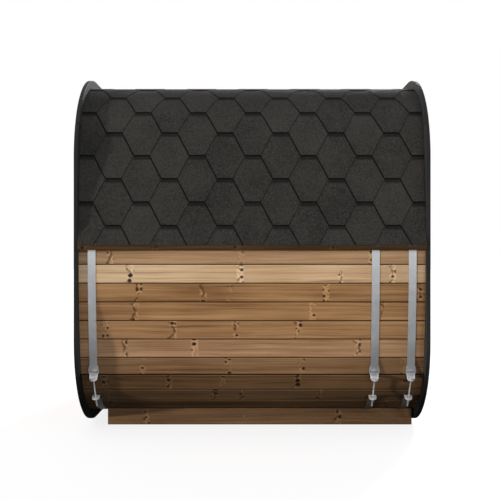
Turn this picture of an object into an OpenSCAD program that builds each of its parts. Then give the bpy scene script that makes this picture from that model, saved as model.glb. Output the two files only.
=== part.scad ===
// Rounded-square sauna cabin: horizontal boards held by three steel straps,
// black rims on both ends, a shingled upper half and two long base beams.
// Millimetres. X runs along the cabin with the porch at +X, Z is up, and the
// origin is on the ground under the middle of the cabin.

/* [Cabin] */
// Length of the wall boards
board_length = 2110; // [1800:10:3000]
// Thickness of the wall, floor and roof boards
wall_t = 42; // [28:1:50]
// Width that one board is meant to cover
board_cover = 115; // [90:1:140]
// Height of the first board joint above the middle of a side
first_joint = 23; // [5:1:27]
// Radius of the slight bow of each side, of the floor and of the roof
bow_r = 4450; // [3500:50:6000]
// Radius of the corners of the board shell
shell_r = 445; // [400:5:480]

/* [End rims] */
// Width and height over a rim
rim_size = 2260; // [2200:10:2500]
// Outer corner radius of a rim
rim_corner_r = 570; // [500:5:600]
// Thickness of a rim along the cabin
rim_t = 25; // [18:1:45]
// Width of a rim board across its face
rim_band = 120; // [110:1:160]
// How far a rim stands out from the wall boards at the middle of a side
rim_proud = 24; // [10:1:40]
// Angle of the saw cuts into each corner
rim_cut_angle = 22; // [12:1:28]
// Width of a saw cut
rim_kerf = 2; // [1:0.5:4]
// Gap between the ground and a rim
rim_lift = 20; // [15:1:60]

/* [Roof covering] */
// Thickness of the shingles where they overlap
shingle_t = 5; // [4:0.5:8]
// Gap between the roof covering and a rim
rim_gap = 1; // [0.5:0.5:5]
// Height of the lath that holds the lower edge of the shingles away from the wall
lath_h = 28; // [28:1:45]
// Thickness of that lath
lath_t = 40; // [25:1:50]
// How far the lath reaches below the middle of a side
lath_drop = 3; // [0:1:20]

/* [End walls and porch] */
// Thickness of an end wall
end_wall_t = 42; // [28:1:50]
// Depth of the porch, from the board ends to the middle of the front wall
porch_depth = 303; // [280:1:550]

/* [Door] */
// Width of the doorway in the front wall
doorway_w = 760; // [680:5:900]
// Height of the wall above the doorway
head_h = 194; // [150:2:300]
// Height of the wall under the doorway
sill_h = 84; // [60:2:110]
// Width of a door frame member inside the doorway
frame_w = 40; // [30:1:60]
// How far the frame laps over the wall
frame_lap = 35; // [20:1:60]
// How far the frame stands out from the wall
frame_proud = 18; // [12:1:30]
// Gap round the door leaf
leaf_gap = 4; // [2:0.5:6]
// Thickness of the door leaf
leaf_t = 40; // [35:1:45]
// Width of the wood on each side of the glass
stile_w = 185; // [120:5:220]
// Height of the wood above the glass
top_rail_h = 185; // [120:5:300]
// Height of the wood below the glass
bottom_rail_h = 395; // [185:5:700]
// Thickness of the glass
glass_t = 8; // [4:1:10]
// How far the glass goes into its groove
glass_hold = 10; // [5:1:15]
// Length of the handle bar
handle_length = 420; // [300:10:700]
// Width of the square handle bar
handle_w = 30; // [22:1:38]
// Diameter of a handle post
handle_post_d = 18; // [12:1:22]
// Distance from a handle's end to the middle of its post
handle_post_inset = 45; // [30:5:90]
// Space between the door and the handle bar
handle_reach = 32; // [28:1:45]
// Diameter of a hinge barrel
hinge_d = 16; // [12:1:20]
// Length of a hinge
hinge_length = 100; // [80:5:120]
// Width of a hinge plate
hinge_plate_w = 30; // [24:1:34]
// Thickness of a hinge plate
hinge_plate_t = 2.5; // [2:0.5:4]
// Distance from an end of the door leaf to the middle of the nearest hinge
hinge_inset = 210; // [100:10:400]

/* [Straps] */
// Distance from the board ends to the middle of an outer strap
strap_inset = 79; // [60:1:150]
// Width of a steel band
band_w = 48; // [40:1:54]
// Thickness of a steel band
band_t = 2; // [1.5:0.5:3]
// Angle round the lower corner of the middle of a tension bolt
bolt_angle = 31.5; // [30:0.5:34]
// Distance from the wall boards to the axis of a tension bolt
bolt_standoff = 26; // [24:1:30]
// Distance along a tension bolt from its middle to a bracket ear
ear_reach = 75; // [65:1:85]
// Thread diameter of a tension bolt
bolt_d = 10; // [8:1:12]
// Room round a bolt in a bracket ear
bolt_room = 0.5; // [0.3:0.1:1]
// Length of thread past the lower ear
bolt_tail = 68; // [30:1:90]
// Width across the flats of a bolt head or nut
hex_w = 17; // [15:1:20]
// Height of a bolt head or nut
hex_h = 8; // [6:1:10]
// Thickness of a bracket plate
plate_t = 3; // [2:0.5:4]
// Thickness of a bracket ear
ear_t = 4; // [3:0.5:6]
// Half width of a bracket ear
ear_r = 24; // [20:1:26]
// Thickness of the cheeks that brace an ear
cheek_t = 3; // [2:0.5:4]
// How far a cheek runs along its bracket plate
cheek_reach = 22; // [14:1:26]
// Distance along a bracket plate from its ear to the bar that a band hooks over
bar_reach = 42; // [38:1:60]
// How far a bracket stands out beside the band in it
bracket_wing = 8; // [5:1:9]
// How far a bracket's tapering end reaches past its bar, behind the band
wing_rise = 26; // [10:1:30]
// How far the tip of that end stands out beside the band
wing_tip = 2; // [1:1:4]
// Room beside the band in its slot
slot_room = 1.5; // [1:0.5:4]
// Depth of that bar
bar_h = 8; // [6:1:10]
// Height of the slot that a band goes through
slot_h = 8; // [7:1:10]
// Length of the folded end of a band
hook_tail = 20; // [16:1:26]

/* [Base] */
// Gap between a base beam and the front rim
beam_front_gap = 7; // [1:1:100]
// Gap between a base beam and the back rim
beam_back_gap = 107; // [107:1:200]
// How far a base beam lies in from the side of a rim
beam_inset = 410; // [360:5:480]
// Thickness of a base beam
beam_t = 60; // [45:1:90]
// Room beside a band where it passes over a base beam
notch_room = 3; // [1:0.5:10]
// Width of a cross bearer
bearer_w = 60; // [45:1:90]

/* [Hidden] */
$fn = 96;

fit = 0.3;                                   // clearance between pieces that seat on each other
half_wall = rim_size / 2 - rim_proud;        // middle of the cabin to the middle of a side
flat = rim_size / 2 - rim_corner_r;          // middle of a rim's side to the start of its corner
centre_z = rim_lift + rim_size / 2;          // height of the middle of the shell
wall_wood = [0.58, 0.44, 0.31];
beam_wood = [0.42, 0.31, 0.22];
black_stain = [0.12, 0.12, 0.13];
shingle_grey = [0.22, 0.22, 0.22];
band_steel = [0.66, 0.67, 0.68];
zinc = [0.78, 0.78, 0.80];

// ---- outline of the shell: four slightly bowed sides that run into round corners ----
bow_turn = acos((bow_r - half_wall) / (bow_r - shell_r) / sqrt(2)) - 45;  // half the angle of a bow
bow_length = bow_r * bow_turn * PI / 180;    // middle of a side to the start of its corner
arc = shell_r * (90 - 2 * bow_turn) * PI / 180;
corner_c = (bow_r - shell_r) * sin(bow_turn);  // middle of the shell to the middle of a corner's curve
quarter = bow_length + arc + bow_length;     // middle of a side to the middle of the floor or roof

// A place on the shell as [y, z] from its middle: s upwards from the middle of the +Y side
function on_bow(s, off) =
    let (a = s / bow_r * 180 / PI)
    [half_wall - bow_r + (bow_r + off) * cos(a), (bow_r + off) * sin(a)];
function on_corner(s, off) =
    let (a = bow_turn + (s - bow_length) / shell_r * 180 / PI)
    [corner_c, corner_c] + (shell_r + off) * [cos(a), sin(a)];
function shell_point(s, off) =
    let (p = abs(s) <= bow_length ? on_bow(abs(s), off) :
             abs(s) < bow_length + arc ? on_corner(abs(s), off) :
             on_bow(quarter - abs(s), off),
         q = abs(s) < bow_length + arc ? p : [p[1], p[0]])
    [q[0], s < 0 ? -q[1] : q[1]];

// ---- board joints, counted from the one just above the middle of a side ----
lower_count = round((quarter + first_joint) / board_cover);
lower_pitch = (quarter + first_joint) / lower_count;
upper_count = round((quarter - first_joint) / board_cover - 0.5);
upper_pitch = (quarter - first_joint) / (upper_count + 0.5);
function joint(i) = first_joint + i * (i < 0 ? lower_pitch : upper_pitch);
function lower_near(s) = round((s + first_joint) / lower_pitch);
function upper_near(s) = round((s - first_joint) / upper_pitch);
side_low = lower_near(bow_length);
side_high = upper_near(bow_length);
floor_end = lower_near(bow_length + arc);
roof_end = upper_near(bow_length + arc);

// The line over the joints from i0 to i1 on one side of the cabin
function joints(i0, i1, off, side) = [
    for (i = [i0 : (i1 > i0 ? 1 : -1) : i1])
        let (p = shell_point(joint(i), off)) [side * p[0], p[1]]
];
function across_roof(i, off) = concat(joints(i, upper_count, off, -1), joints(upper_count, i, off, 1));
function across_floor(i, off) =
    concat(joints(-i, -lower_count, off, -1), joints(1 - lower_count, -i, off, 1));
function shell_outline(off) =
    concat(joints(-lower_count, upper_count, off, -1), joints(upper_count, 1 - lower_count, off, 1));
function reversed(list) = [for (i = [len(list) - 1 : -1 : 0]) list[i]];
function flip_y(points) = [for (p = reversed(points)) [-p[0], p[1]]];

// A strip of even thickness along a line of points
function across(v) = [-v[1], v[0]] / norm(v);
function mitre(points, i) =
    let (
        last = len(points) - 1,
        before = across(points[max(i, 1)] - points[max(i, 1) - 1]),
        after = across(points[min(i, last - 1) + 1] - points[min(i, last - 1)])
    ) (before + after) / (1 + before * after);
function strip(points, t) = concat(
    [for (i = [0 : len(points) - 1]) points[i] + mitre(points, i) * t / 2],
    [for (i = [len(points) - 1 : -1 : 0]) points[i] - mitre(points, i) * t / 2]
);

// Stands a [y, z] outline up and stretches it along the cabin from x0 to x1
module along(x0, x1) {
    translate([x0, 0, centre_z]) rotate([90, 0, 90]) linear_extrude(x1 - x0) children();
}

// ---- shell of boards ----
module boards(outer, inner) {
    color(wall_wood) along(-board_length / 2, board_length / 2) polygon(concat(outer, reversed(inner)));
}
module side_boards(i0, i1, side) {
    boards(joints(i0, i1, 0, side), joints(i0, i1, -wall_t, side));
}

// ---- end rims ----
module rounded_square(size, r) {
    square([size, size - 2 * r], center = true);
    square([size - 2 * r, size], center = true);
    for (y = [-1, 1], z = [-1, 1]) translate([y, z] * (size / 2 - r)) circle(r, $fn = 180);
}
module rim_ring() {
    difference() {
        rounded_square(rim_size, rim_corner_r);
        rounded_square(rim_size - 2 * rim_band, rim_corner_r - rim_band);
    }
}
// Windows that part a ring into boards, each narrower by half a saw cut: one over the
// straight stretch on the +Y side and one over the corner above it
module straight_window() {
    base = flat - rim_kerf / 2 / cos(rim_cut_angle);
    reach = [flat, base] + rim_size * [cos(rim_cut_angle), sin(rim_cut_angle)];
    polygon([[flat, base], reach, [reach[0], -reach[1]], [flat, -base]]);
}
module corner_window() {
    base = flat + rim_kerf / 2 / (cos(rim_cut_angle) - sin(rim_cut_angle));
    translate([base, base]) polygon([
        [0, 0],
        rim_size * [cos(rim_cut_angle), sin(rim_cut_angle)],
        rim_size * [sin(rim_cut_angle), cos(rim_cut_angle)]
    ]);
}
module rim(end) {
    x = end * (board_length / 2 + rim_t / 2);
    color(black_stain) along(x - rim_t / 2, x + rim_t / 2) intersection() {
        rim_ring();
        children();
    }
}
module rim_sides(end) {
    rim(end) for (a = [0, 180]) rotate(a) straight_window();
}
module rim_top_and_bottom(end) {
    rim(end) for (a = [90, 270]) rotate(a) straight_window();
}
module rim_corners(end) {
    rim(end) for (a = [0, 90, 180, 270]) rotate(a) corner_window();
}

// ---- end walls ----
strap_x = board_length / 2 - strap_inset;
front_wall_x = board_length / 2 - porch_depth;
door_bottom = -half_wall + wall_t + sill_h;
doorway_h = 2 * (half_wall - wall_t) - sill_h - head_h;
module end_wall(x) {
    color(wall_wood) along(x - end_wall_t / 2, x + end_wall_t / 2)
        intersection() {
            polygon(shell_outline(-wall_t - fit));
            children();
        }
}
module front_wall_side(side) {
    end_wall(front_wall_x)
        translate([side > 0 ? doorway_w / 2 : -rim_size / 2, -rim_size / 2])
            square([rim_size / 2 - doorway_w / 2, rim_size]);
}
module front_wall_top() {
    end_wall(front_wall_x)
        translate([-doorway_w / 2, door_bottom + doorway_h]) square([doorway_w, rim_size]);
}
module front_wall_sill() {
    end_wall(front_wall_x)
        translate([-doorway_w / 2, door_bottom - rim_size]) square([doorway_w, rim_size]);
}

// ---- door ----
wall_front = front_wall_x + end_wall_t / 2;
wall_back = front_wall_x - end_wall_t / 2;
door_front = wall_front + frame_proud;
leaf_w = doorway_w - 2 * (fit + frame_w + leaf_gap);
leaf_h = doorway_h - 2 * (fit + frame_w + leaf_gap);
leaf_z = door_bottom + doorway_h / 2;
glass_w = leaf_w - 2 * stile_w;
glass_h = leaf_h - top_rail_h - bottom_rail_h;
glass_z = leaf_z + (bottom_rail_h - top_rail_h) / 2;
hinge_y = leaf_w / 2 + leaf_gap / 2;
module opening_rect(w, h, z) {
    translate([0, z]) square([w, h], center = true);
}
module door_frame() {
    inner_w = leaf_w + 2 * leaf_gap;
    inner_h = leaf_h + 2 * leaf_gap;
    color(beam_wood) {
        along(wall_back, wall_front + fit) difference() {
            opening_rect(doorway_w - 2 * fit, doorway_h - 2 * fit, leaf_z);
            opening_rect(inner_w, inner_h, leaf_z);
        }
        along(wall_front + fit, door_front) difference() {
            opening_rect(doorway_w + 2 * frame_lap, doorway_h + 2 * frame_lap, leaf_z);
            opening_rect(inner_w, inner_h, leaf_z);
        }
    }
}
module door_leaf() {
    color(wall_wood) difference() {
        along(door_front - leaf_t, door_front) difference() {
            opening_rect(leaf_w, leaf_h, leaf_z);
            opening_rect(glass_w, glass_h, glass_z);
        }
        along(door_front - leaf_t / 2 - glass_t / 2 - fit, door_front - leaf_t / 2 + glass_t / 2 + fit)
            opening_rect(glass_w + 2 * (glass_hold + fit), glass_h + 2 * (glass_hold + fit), glass_z);
    }
}
module door_glass() {
    color([0.25, 0.22, 0.2, 0.5])
        along(door_front - leaf_t / 2 - glass_t / 2, door_front - leaf_t / 2 + glass_t / 2)
            opening_rect(glass_w + 2 * glass_hold, glass_h + 2 * glass_hold, glass_z);
}
module door_handle() {
    y = (leaf_w / 2 + glass_w / 2) / 2;
    color(beam_wood) {
        along(door_front + handle_reach, door_front + handle_reach + handle_w)
            translate([-y, leaf_z]) square([handle_w, handle_length], center = true);
        for (end = [-1, 1])
            along(door_front + fit, door_front + handle_reach + handle_w / 2)
                translate([-y, leaf_z + end * (handle_length / 2 - handle_post_inset)])
                    circle(d = handle_post_d);
    }
}
module door_hinges() {
    axis_x = door_front + fit + hinge_d / 2;
    color(zinc) for (z = [-1, 0, 1] * (leaf_h / 2 - hinge_inset)) {
        along(door_front + fit, door_front + fit + hinge_plate_t)
            translate([hinge_y, leaf_z + z]) square([2 * hinge_plate_w, hinge_length], center = true);
        translate([axis_x, hinge_y, centre_z + leaf_z + z])
            cylinder(d = hinge_d, h = hinge_length, center = true);
    }
}

// ---- roof covering ----
skin_off = fit + band_t + fit;
lath_top = lath_h - lath_drop;
inside_rims = board_length / 2 - rim_gap;
// The last course leaves the shell above the middle of a side and slopes out to the lath
module roof_shingles() {
    function lower_edge(off) = [half_wall + lath_t - shingle_t + off, lath_top + fit];
    function edge(off) =
        let (right = concat(joints(upper_count, 1, off, 1), [lower_edge(off)]))
        concat(flip_y(right), right);
    color(shingle_grey) along(-inside_rims, inside_rims)
        polygon(concat(edge(skin_off), reversed(edge(skin_off + shingle_t))));
}
module eaves_lath(side) {
    color(beam_wood) along(-inside_rims, inside_rims)
        translate([side > 0 ? half_wall + skin_off : -half_wall - skin_off - lath_t, -lath_drop])
            square([lath_t, lath_h]);
}

// ---- straps ----
// A place beside a tension bolt on the left: t down along the bolt, h outwards from its axis
bolt_down = [sin(bolt_angle), -cos(bolt_angle)];
bolt_out = [-cos(bolt_angle), -sin(bolt_angle)];
bolt_middle = -[corner_c, corner_c] + (shell_r + bolt_standoff) * bolt_out;
function mirrored_along_bolt(p) =
    bolt_middle - ((p - bolt_middle) * bolt_down) * bolt_down + ((p - bolt_middle) * bolt_out) * bolt_out;

// Under the side the band runs straight on to its bracket, and the bracket's plate lies along it
band_off = fit + band_t / 2;
leave = joints(-side_low, 1 - side_low, band_off, -1);  // the last joint it touches and the one above
band_down = (leave[0] - leave[1]) / norm(leave[0] - leave[1]);
band_out = [band_down[1], -band_down[0]];
plate_bend = bolt_angle - atan(-band_down[0] / band_down[1]);
bar_room = plate_t / 2 + fit + band_t / 2;
plate_line = leave[0] - bar_room * band_out;
foot_along = (-ear_reach - (plate_line - bolt_middle) * bolt_down) / (band_down * bolt_down);
foot = plate_line + foot_along * band_down;  // where the plate meets its ear
plate_drop = -(foot - bolt_middle) * bolt_out;
hook = foot + (bar_h / 2 + fit + band_t / 2 - bar_reach) * band_down;
upper_hook = [
    hook - bar_room * band_out - hook_tail * band_down,
    hook - bar_room * band_out,
    hook + bar_room * band_out
];
lower_hook = [for (p = concat(upper_hook, [leave[0]])) mirrored_along_bolt(p)];
bolt_s = bow_length + shell_r * (bolt_angle - bow_turn) * PI / 180;
under_start = ceil((2 * bolt_s + joint(-side_low) + first_joint) / lower_pitch);

module band(x, points) {
    color(band_steel) along(x - band_w / 2, x + band_w / 2) polygon(strip(points, band_t));
}
module strap_over_roof(x) {
    band(x, concat(upper_hook, across_roof(-side_low, band_off), flip_y(upper_hook)));
}
module strap_under_floor(x) {
    band(x, concat(lower_hook, across_floor(under_start, band_off), flip_y(lower_hook)));
}
// Local frame of a tension bolt: +Z up along the bolt and -Y away from the cabin
module at_bolt(x, side) {
    mirror([0, side > 0 ? 1 : 0, 0])
        translate([x, bolt_middle[0], centre_z + bolt_middle[1]])
            rotate([bolt_angle, 0, 0]) children();
}
module bracket() {
    foot_half = ear_r - cheek_t / 2;
    bar_half = band_w / 2 + bracket_wing;
    tip_half = band_w / 2 + wing_tip;
    slot_half = band_w / 2 + slot_room;
    bar_top = bar_reach + bar_h / 2;
    slot_low = bar_reach - bar_h / 2 - slot_h;
    cheek_end = [plate_drop, 0] + cheek_reach * [sin(plate_bend), cos(plate_bend)];
    difference() {
        union() {
            translate([0, plate_drop, ear_reach]) rotate([-plate_bend, 0, 0])
                translate([0, plate_t / 2, 0]) rotate([90, 0, 0]) linear_extrude(plate_t) difference() {
                    polygon([
                        [-foot_half, -ear_t / 2], [foot_half, -ear_t / 2], [foot_half, ear_t],
                        [bar_half, slot_low], [bar_half, bar_top], [tip_half, bar_top + wing_rise],
                        [-tip_half, bar_top + wing_rise], [-bar_half, bar_top], [-bar_half, slot_low],
                        [-foot_half, ear_t]
                    ]);
                    translate([-slot_half, slot_low]) square([2 * slot_half, slot_h]);
                }
            translate([0, 0, ear_reach - ear_t / 2]) linear_extrude(ear_t) {
                intersection() {
                    circle(ear_r);
                    translate([-ear_r, -ear_r]) square([2 * ear_r, ear_r]);
                }
                translate([-ear_r, 0]) square([2 * ear_r, plate_drop]);
            }
            for (side = [-1, 1])
                translate([side * (ear_r - cheek_t / 2) - cheek_t / 2, 0, ear_reach])
                    rotate([90, 0, 90]) linear_extrude(cheek_t)
                        polygon([[0, 0], [plate_drop, 0], cheek_end, cheek_end - [plate_t, 0], [0, ear_t / 2]]);
        }
        cylinder(d = bolt_d + 2 * bolt_room, h = ear_reach + ear_t);
    }
}
module strap_brackets(x) {
    color(zinc) for (side = [-1, 1]) at_bolt(x, side) {
        bracket();
        mirror([0, 0, 1]) bracket();
    }
}
module strap_bolts(x) {
    seat = ear_reach + ear_t / 2 + fit;
    hex_d = hex_w / cos(30);
    color(zinc) for (side = [-1, 1]) at_bolt(x, side) {
        translate([0, 0, -seat - bolt_tail]) cylinder(d = bolt_d, h = 2 * seat + bolt_tail + hex_h / 2);
        translate([0, 0, seat]) cylinder(d = hex_d, h = hex_h, $fn = 6);
        translate([0, 0, -seat - hex_h]) cylinder(d = hex_d, h = hex_h, $fn = 6);
    }
}

// ---- base ----
beam_front = board_length / 2 - beam_front_gap;
beam_back = -board_length / 2 + beam_back_gap;
beam_y = rim_size / 2 - beam_inset;
module base_beam(side) {
    notch_w = band_w + 2 * notch_room;
    color(beam_wood) difference() {
        translate([beam_back, side > 0 ? beam_y - beam_t : -beam_y, 0])
            cube([beam_front - beam_back, beam_t, centre_z - flat]);
        along(beam_back - 1, beam_front + 1) polygon(shell_outline(fit));
        for (x = [-strap_x, front_wall_x, strap_x])
            along(x - notch_w / 2, x + notch_w / 2) polygon(shell_outline(band_off + band_t / 2 + 2 * fit));
    }
}
module cross_bearers() {
    between = 2 * (beam_y - beam_t - fit);
    first = band_w / 2 + notch_room + bearer_w / 2 - strap_x;
    last = (front_wall_x + strap_x) / 2;
    color(beam_wood) for (x = [first, (first + last) / 2, last])
        difference() {
            translate([x - bearer_w / 2, -between / 2, 0]) cube([bearer_w, between, centre_z - flat]);
            along(x - bearer_w, x + bearer_w) polygon(shell_outline(fit));
        }
}

side_boards(-side_low, side_high, -1);  // left_wall
side_boards(-side_low, side_high, 1);  // right_wall
boards(across_roof(roof_end, 0), across_roof(roof_end, -wall_t));  // roof_deck
boards(across_floor(floor_end, 0), across_floor(floor_end, -wall_t));  // floor_deck
side_boards(-floor_end, -side_low, -1);  // left_lower_corner
side_boards(-floor_end, -side_low, 1);  // right_lower_corner
side_boards(side_high, roof_end, -1);  // left_upper_corner
side_boards(side_high, roof_end, 1);  // right_upper_corner
rim_sides(1);  // front_rim_sides
rim_top_and_bottom(1);  // front_rim_top_and_bottom
rim_corners(1);  // front_rim_corners
rim_sides(-1);  // back_rim_sides
rim_top_and_bottom(-1);  // back_rim_top_and_bottom
rim_corners(-1);  // back_rim_corners
end_wall(-strap_x) square(2 * rim_size, center = true);  // back_wall
front_wall_side(-1);  // front_wall_left
front_wall_side(1);  // front_wall_right
front_wall_top();
front_wall_sill();
door_frame();
door_leaf();
door_glass();
door_handle();
door_hinges();
roof_shingles();
eaves_lath(-1);  // left_eaves_lath
eaves_lath(1);  // right_eaves_lath
strap_over_roof(-strap_x);  // rear_strap_over_roof
strap_under_floor(-strap_x);  // rear_strap_under_floor
strap_brackets(-strap_x);  // rear_strap_brackets
strap_bolts(-strap_x);  // rear_strap_bolts
strap_over_roof(front_wall_x);  // middle_strap_over_roof
strap_under_floor(front_wall_x);  // middle_strap_under_floor
strap_brackets(front_wall_x);  // middle_strap_brackets
strap_bolts(front_wall_x);  // middle_strap_bolts
strap_over_roof(strap_x);  // front_strap_over_roof
strap_under_floor(strap_x);  // front_strap_under_floor
strap_brackets(strap_x);  // front_strap_brackets
strap_bolts(strap_x);  // front_strap_bolts
base_beam(-1);  // left_base_beam
base_beam(1);  // right_base_beam
cross_bearers();
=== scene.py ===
import bisect
import math
import random

import bmesh
import bpy
from mathutils import Matrix, Vector


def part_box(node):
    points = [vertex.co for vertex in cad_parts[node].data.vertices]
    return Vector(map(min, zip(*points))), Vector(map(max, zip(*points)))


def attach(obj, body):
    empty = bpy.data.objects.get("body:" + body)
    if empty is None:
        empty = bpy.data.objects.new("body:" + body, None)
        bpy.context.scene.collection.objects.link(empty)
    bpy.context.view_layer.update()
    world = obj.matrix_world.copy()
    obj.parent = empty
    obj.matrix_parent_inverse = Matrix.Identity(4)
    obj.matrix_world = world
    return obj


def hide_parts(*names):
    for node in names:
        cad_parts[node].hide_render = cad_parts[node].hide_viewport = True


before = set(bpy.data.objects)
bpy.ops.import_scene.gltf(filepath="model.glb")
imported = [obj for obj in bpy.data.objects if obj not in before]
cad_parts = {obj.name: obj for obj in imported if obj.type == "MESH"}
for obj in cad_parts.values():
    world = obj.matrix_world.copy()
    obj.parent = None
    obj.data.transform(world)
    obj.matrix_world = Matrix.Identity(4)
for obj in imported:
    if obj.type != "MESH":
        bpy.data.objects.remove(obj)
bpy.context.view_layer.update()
rng = random.Random(20)
alongX, alongY, alongZ = Vector((1, 0, 0)), Vector((0, 1, 0)), Vector((0, 0, 1))
print("frame loaded")


def newObject(name, data):
    made = bpy.data.objects.new(name, data)
    bpy.context.collection.objects.link(made)
    return made


# camera, in front of the left side
camera = {"away": 5.87, "lens": 56.43, "shiftX": -0.0043, "shiftY": -0.001}
eye = newObject("camera", bpy.data.cameras.new("camera"))
bpy.context.scene.camera = eye
eye.data.lens = camera["lens"]
eye.data.shift_x, eye.data.shift_y = camera["shiftX"], camera["shiftY"]

# the shell of the cabin, as the frame has it
ringLow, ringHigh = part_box("front_rim_top_and_bottom")
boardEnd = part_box("left_wall")[1].x
shell = {
    "halfWidth": 1.106,  # from the middle to the outside of the boards
    "thick": 0.042,
    "bowRadius": 4.45,  # the sides, the floor and the roof are not quite flat
    "cornerRadius": 0.445,
    "boardCover": 0.115,  # wanted width of a board
    "firstJoint": 0.023,  # above the middle of a side
}
middle = (ringLow.z + ringHigh.z) / 2
reachApart = shell["bowRadius"] - shell["cornerRadius"]
bowTurn = (math.acos((shell["bowRadius"] - shell["halfWidth"]) / reachApart / math.sqrt(2))
           - math.pi / 4)
cornerMiddle = reachApart * math.sin(bowTurn)
bowLength = shell["bowRadius"] * bowTurn
arcLength = shell["cornerRadius"] * (math.pi / 2 - 2 * bowTurn)
quarter = 2 * bowLength + arcLength  # middle of a side to the middle of the roof or floor
eye.location = (0, -camera["away"], middle)
eye.rotation_euler = (math.pi / 2, 0, 0)


def shellPoint(s, off=0.0, side=-1):  # s runs up from the middle of a side, below it is negative
    up, s = (1 if s >= 0 else -1), abs(s)
    far = s > bowLength + arcLength
    s = quarter - s if far else s
    if s <= bowLength:
        startY, startZ = shell["halfWidth"] - shell["bowRadius"], 0
        reach, turn = shell["bowRadius"] + off, s / shell["bowRadius"]
    else:
        startY = startZ = cornerMiddle
        reach = shell["cornerRadius"] + off
        turn = bowTurn + (s - bowLength) / shell["cornerRadius"]
    y, z = startY + reach * math.cos(turn), startZ + reach * math.sin(turn)
    if far:
        y, z = z, y
    return Vector((0, side * y, middle + up * z))


def share(value):  # kept between 0 and 1
    return min(max(value, 0), 1)


# mesh helpers
def cadCopy(node, flatness=0.4):  # a CAD node's mesh with its triangles merged into faces
    bm = bmesh.new()
    bm.from_mesh(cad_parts[node].data)
    bmesh.ops.remove_doubles(bm, verts=bm.verts, dist=1e-5)
    bmesh.ops.dissolve_limit(bm, angle_limit=math.radians(flatness), verts=bm.verts,
                             edges=bm.edges)
    return bm


def easeEdges(bm, width, segments=2, sharper=30, only=None):  # rounds the sharp edges
    edges = [e for e in bm.edges if e.is_manifold and e.calc_face_angle(0) > math.radians(sharper)]
    if only:
        edges = [e for e in edges if only(e)]
    bmesh.ops.bevel(bm, geom=edges, offset=width, segments=segments, affect="EDGES", profile=0.5,
                    material=-1, clamp_overlap=True)


def boxBetween(bm, low, high):
    made = bmesh.ops.create_cube(bm, size=1)["verts"]
    size, centre = Vector(high) - Vector(low), (Vector(high) + Vector(low)) / 2
    bmesh.ops.scale(bm, vec=size, verts=made)
    bmesh.ops.translate(bm, vec=centre, verts=made)
    return made


def turnOutwards(bm):
    bmesh.ops.recalc_face_normals(bm, faces=bm.faces)


def sliceOff(bm, place, outward):  # takes away what lies past a plane
    return bmesh.ops.bisect_plane(bm, geom=bm.verts[:] + bm.edges[:] + bm.faces[:], dist=1e-6,
                                  plane_co=place, plane_no=outward, clear_outer=True)["geom_cut"]


def keepBetween(bm, axis, low, high):  # cuts a closed shape to a slice and closes the cuts
    for place, outward in ((low, -axis), (high, axis)):
        cut = sliceOff(bm, axis * place, outward)
        rim = [e for e in cut if isinstance(e, bmesh.types.BMEdge)]
        if rim:
            bmesh.ops.holes_fill(bm, edges=rim, sides=0)


def islandsOf(bm):  # lists of joined faces, in the mesh's own order
    found, seen = [], set()
    for first in bm.faces:
        if first in seen:
            continue
        seen.add(first)
        patch = [first]
        for face in patch:
            for other in [f for e in face.edges for f in e.link_faces]:
                if other not in seen:
                    seen.add(other)
                    patch.append(other)
        found.append(patch)
    return found


def spotsOf(patch):
    return [v.co for f in patch for v in f.verts]


def meanOf(spots):
    return sum(spots, Vector()) / len(spots)


def faceLayer(bm, name):
    return bm.faces.layers.float.get(name) or bm.faces.layers.float.new(name)


boardNumbers, grainShifts = 40, 30  # how far apart in the grain's pattern boards are dealt
cutFacing = 0.75  # a face turned this much along the grain is a cut end


def layGrain(bm, along, light=0.0, paintedShading=0.0):  # a board for each island: uv in metres, u along it
    bm.normal_update()
    uv = bm.loops.layers.uv.verify()
    board, tone, cut, shadingLayer = [faceLayer(bm, name) for name in ("board", "tone", "cut", "paintedShading")]
    for patch in islandsOf(bm):
        centre = meanOf(spotsOf(patch))
        grain = along(centre) if callable(along) else along
        number, shift = rng.uniform(0, boardNumbers), rng.uniform(0, grainShifts)
        for face in patch:
            # each face also starts with its share of painted shade
            face[board], face[tone], face[shadingLayer] = number, light, paintedShading
            face[cut] = 1.0 if abs(face.normal.dot(grain)) > cutFacing else 0.0
            across = face.normal.cross(grain)
            if face[cut] or across.length < 0.05:
                first = alongY if abs(grain.y) < 0.6 else alongZ
                first = (first - grain * first.dot(grain)).normalized()
                across = grain.cross(first)
            else:
                first, across = grain, across.normalized()
            for loop in face.loops:
                place = loop.vert.co - centre
                loop[uv].uv = (place.dot(first) + (0 if face[cut] else shift), place.dot(across))


def meshFrom(name, bm):
    mesh = bpy.data.meshes.new(name)
    bm.to_mesh(mesh)
    bm.free()
    return mesh


def addPiece(name, bm, finish, nodes, smoothTo=35):
    mesh = meshFrom(name, bm)
    mesh.materials.append(finish)
    mesh.shade_smooth()
    mesh.set_sharp_from_angle(angle=math.radians(smoothTo))
    piece = newObject(name, mesh)
    if nodes:
        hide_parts(*nodes)
    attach(piece, "root")


def joinInto(target, bm):  # adds one bmesh to another
    spare = meshFrom("spare", bm)
    target.from_mesh(spare)
    bpy.data.meshes.remove(spare)


# shader helpers
def feed(node, values):  # sets its sockets, with links or plain values
    for key, value in values.items():
        if isinstance(value, bpy.types.NodeSocket):
            node.id_data.links.new(value, node.inputs[key])
        else:
            node.inputs[key].default_value = value


def put(tree, kind, values=None, **settings):  # a node with its settings, values and links
    made = tree.nodes.new(kind)
    for key, value in settings.items():
        setattr(made, key, value)
    feed(made, values or {})
    return made


def sums(tree, operation, *values, clamp=False):
    return put(tree, "ShaderNodeMath", dict(enumerate(values)), operation=operation,
               use_clamp=clamp).outputs[0]


def times(tree, first, second):
    return sums(tree, "MULTIPLY", first, second)


def timesPlus(tree, first, second, added, clamp=False):
    return sums(tree, "MULTIPLY_ADD", first, second, added, clamp=clamp)


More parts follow.
